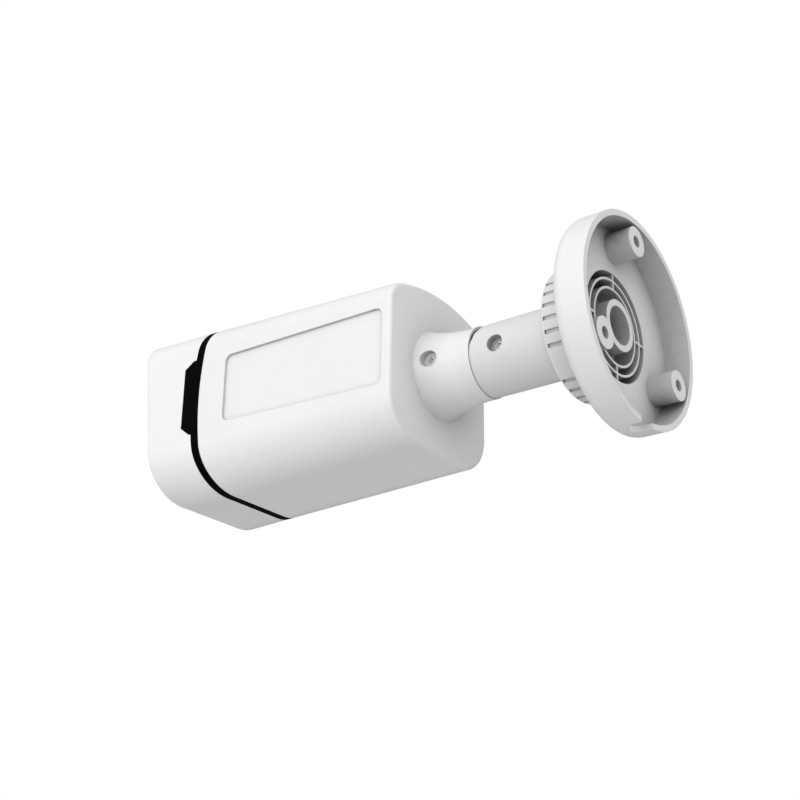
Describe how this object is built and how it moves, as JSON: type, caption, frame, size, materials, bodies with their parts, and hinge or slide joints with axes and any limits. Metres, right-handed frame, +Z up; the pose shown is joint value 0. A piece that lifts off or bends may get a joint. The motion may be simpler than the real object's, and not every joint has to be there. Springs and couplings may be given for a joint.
{
  "type": "bullet security camera on a three-axis wall bracket",
  "caption": "Weatherproof bullet camera whose hood and housing sit on a wall bracket that pans, tilts and rolls.",
  "frame": {"origin": "centre of the base's open rim, on the wall plane", "axes": "+Y into the wall, +Z up, +X to the camera's left as it looks along -Y"},
  "size_m": [0.08, 0.2098, 0.08],
  "materials": {
    "white_shell": "fine satin moulded",
    "black_seal": "matte",
    "stainless": "turned",
    "nylon": "smooth",
    "window": "polished",
    "black_plastic": "matte",
    "lens_coating": "coated",
    "filter_glass": "coated",
    "emitter": "clear moulded",
    "board_green": "solder mask",
    "board_white": "white solder mask",
    "chip_black": "moulded",
    "connector": "moulded",
    "pad_grey": "soft",
    "aluminium": "extruded",
    "brass": "turned"
  },
  "bodies": {
    "base": {"wall_base": "white_shell", "friction_washer": "nylon"},
    "lock_ring": {"lock_ring": "white_shell"},
    "arm": {"bracket_arm": "white_shell", "pivot_bolt": "stainless", "pivot_nut": "stainless", "pivot_washers": "nylon"},
    "knuckle": {"tilt_knuckle": "white_shell", "stem_o_ring": "black_seal", "stem_clip": "stainless"},
    "camera": {"rear_housing": "white_shell", "neck_set_screw": "stainless", "front_seal": "black_seal", "front_cap": "white_shell", "window_gasket": "black_seal", "front_window": "window", "face_mask": "black_plastic", "lens_shroud": "black_seal", "led_board": "board_white", "ir_leds": "emitter", "light_sensor": "emitter", "lens_holder": "black_plastic", "lens_barrel": "black_plastic", "lens_glass": "lens_coating", "lens_lock_ring": "brass", "ir_cut_actuator": "chip_black", "image_sensor": "chip_black", "main_board": "board_green", "board_chips": "chip_black", "cable_header": "connector", "thermal_pad": "pad_grey", "heat_sink": "aluminium", "board_standoffs": "brass", "board_screws": "stainless", "chassis_plate": "aluminium", "post_spacers": "aluminium", "hood_screws": "stainless", "led_board_posts": "black_plastic", "board_ribbon": "connector"},
    "filter_slide": {"ir_cut_carriage": "black_plastic", "ir_cut_filters": "filter_glass"}
  },
  "joints": [
    {"name": "lock_ring_turn", "type": "hinge", "parent": "base", "child": "lock_ring", "pos_m": [0, -0.02, 0], "axis": [0, -1, 0], "range_deg": [0, 180]},
    {"name": "pan", "type": "hinge", "parent": "base", "child": "arm", "pos_m": [0, -0.022, 0], "axis": [0, -1, 0], "range_deg": [-180, 180]},
    {"name": "tilt", "type": "hinge", "parent": "arm", "child": "knuckle", "pos_m": [0, -0.052, 0], "axis": [-1, 0, 0], "range_deg": [0, 70]},
    {"name": "roll", "type": "hinge", "parent": "knuckle", "child": "camera", "pos_m": [0, -0.08, 0], "axis": [0, -1, 0], "range_deg": [-180, 180]},
    {"name": "filter_shift", "type": "slide", "parent": "camera", "child": "filter_slide", "axis": [1, 0, 0], "range_m": [0, 0.008]}
  ]
}
